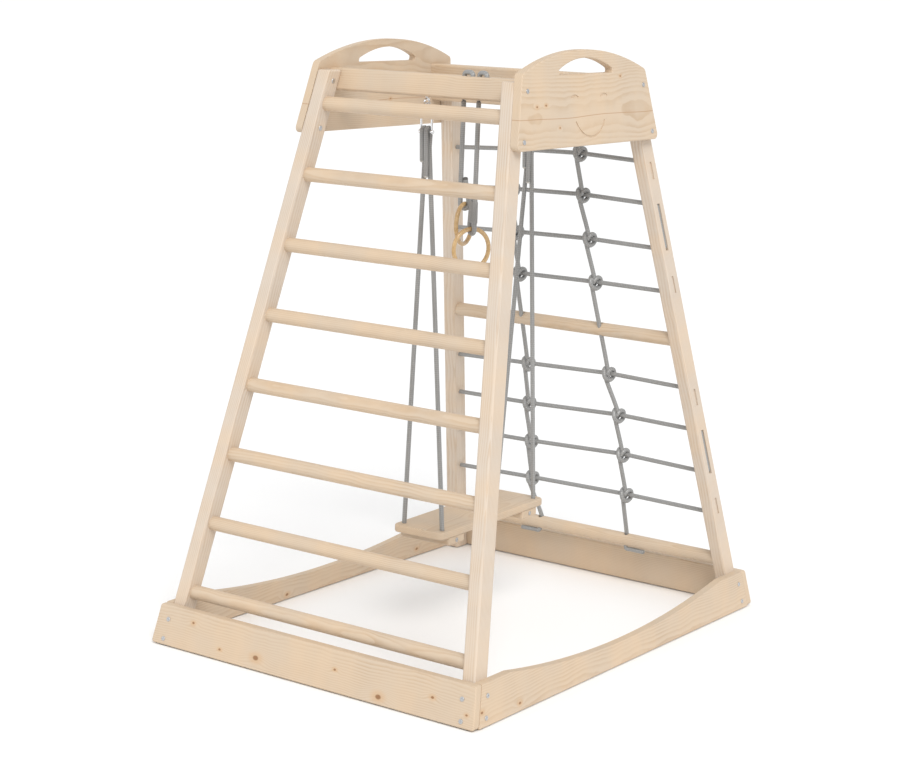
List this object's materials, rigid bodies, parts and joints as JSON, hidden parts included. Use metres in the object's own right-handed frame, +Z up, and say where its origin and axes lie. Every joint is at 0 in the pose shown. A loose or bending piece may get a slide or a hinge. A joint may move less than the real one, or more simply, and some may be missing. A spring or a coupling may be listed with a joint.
{
  "type": "climbing frame",
  "caption": "Wooden indoor climbing frame with a ladder, a rope net, a swing and a pair of small gym rings.",
  "frame": {"origin": "on the floor, under the middle of the frame's bounding box", "axes": "+Z up; +Y from the ladder to the net; +X to the right of someone facing the ladder"},
  "size_m": [0.8588, 1.1236, 1.2945],
  "materials": {
    "pale_wood": "sanded",
    "lacquered_wood": "gloss",
    "rope": "braided",
    "steel": "satin",
    "felt": "matt"
  },
  "bodies": {
    "frame": {"foot_pads": "felt", "beam_dowels": "pale_wood", "panel_screws": "steel", "panel_nuts": "steel", "side_board_screws": "steel", "end_board_screws": "steel", "leg_front_left": "pale_wood", "leg_front_right": "pale_wood", "leg_back_left": "pale_wood", "leg_back_right": "pale_wood", "ladder_rung_1": "pale_wood", "ladder_rung_2": "pale_wood", "ladder_rung_3": "pale_wood", "ladder_rung_4": "pale_wood", "ladder_rung_5": "pale_wood", "ladder_rung_6": "pale_wood", "ladder_rung_7": "pale_wood", "ladder_rung_8": "pale_wood", "net_middle_rung": "pale_wood", "net_bottom_rung": "pale_wood", "front_base_board": "pale_wood", "back_base_board": "pale_wood", "left_base_board": "pale_wood", "right_base_board": "pale_wood", "left_top_panel": "pale_wood", "right_top_panel": "pale_wood", "front_top_beam": "pale_wood", "back_top_beam": "pale_wood", "net_cord_row_1": "rope", "net_cord_row_2": "rope", "net_cord_row_3": "rope", "net_cord_row_4": "rope", "net_cord_row_5": "rope", "net_cord_row_6": "rope", "net_cord_row_7": "rope", "net_cord_row_8": "rope", "net_upright_left": "rope", "net_upright_right": "rope", "net_cord_bends_upper": "rope", "net_cord_bends_lower": "rope", "ring_rope_tops": "rope", "swing_screw_eyes": "steel"},
    "swing": {"swing_shackle_front": "steel", "swing_shackle_back": "steel", "swing_rope_front_left": "rope", "swing_rope_front_right": "rope", "swing_rope_back_left": "rope", "swing_rope_back_right": "rope", "swing_seat": "pale_wood", "swing_seat_battens": "pale_wood", "swing_batten_screws": "steel", "swing_ropes_under_seat": "rope"},
    "ring_rope_left": {"ring_rope_left": "rope"},
    "ring_rope_right": {"ring_rope_right": "rope"},
    "ring_left": {"ring_loop_left": "rope", "gym_ring_left": "lacquered_wood"},
    "ring_right": {"ring_loop_right": "rope", "gym_ring_right": "lacquered_wood"}
  },
  "joints": [
    {"name": "swing_hinge", "type": "hinge", "parent": "frame", "child": "swing", "pos_m": [0, 0.004, 1.142], "axis": [0, 0.9954, -0.0959], "range_deg": [-12, 45]},
    {"name": "ring_rope_left_hinge", "type": "hinge", "parent": "frame", "child": "ring_rope_left", "pos_m": [0.09, -0.182, 1.1837], "axis": [1, 0, 0], "range_deg": [-8, 50]},
    {"name": "ring_rope_right_hinge", "type": "hinge", "parent": "frame", "child": "ring_rope_right", "pos_m": [0.1275, -0.1815, 1.1837], "axis": [1, 0, 0], "range_deg": [-8, 50]},
    {"name": "ring_left_turn", "type": "hinge", "parent": "ring_rope_left", "child": "ring_left", "pos_m": [0.0888, -0.1826, 1.027], "axis": [0, 0, 1], "range_deg": [-38, 5]},
    {"name": "ring_right_turn", "type": "hinge", "parent": "ring_rope_right", "child": "ring_right", "pos_m": [0.1426, -0.2054, 1.012], "axis": [0, 0, 1], "range_deg": [-5, 38]}
  ]
}
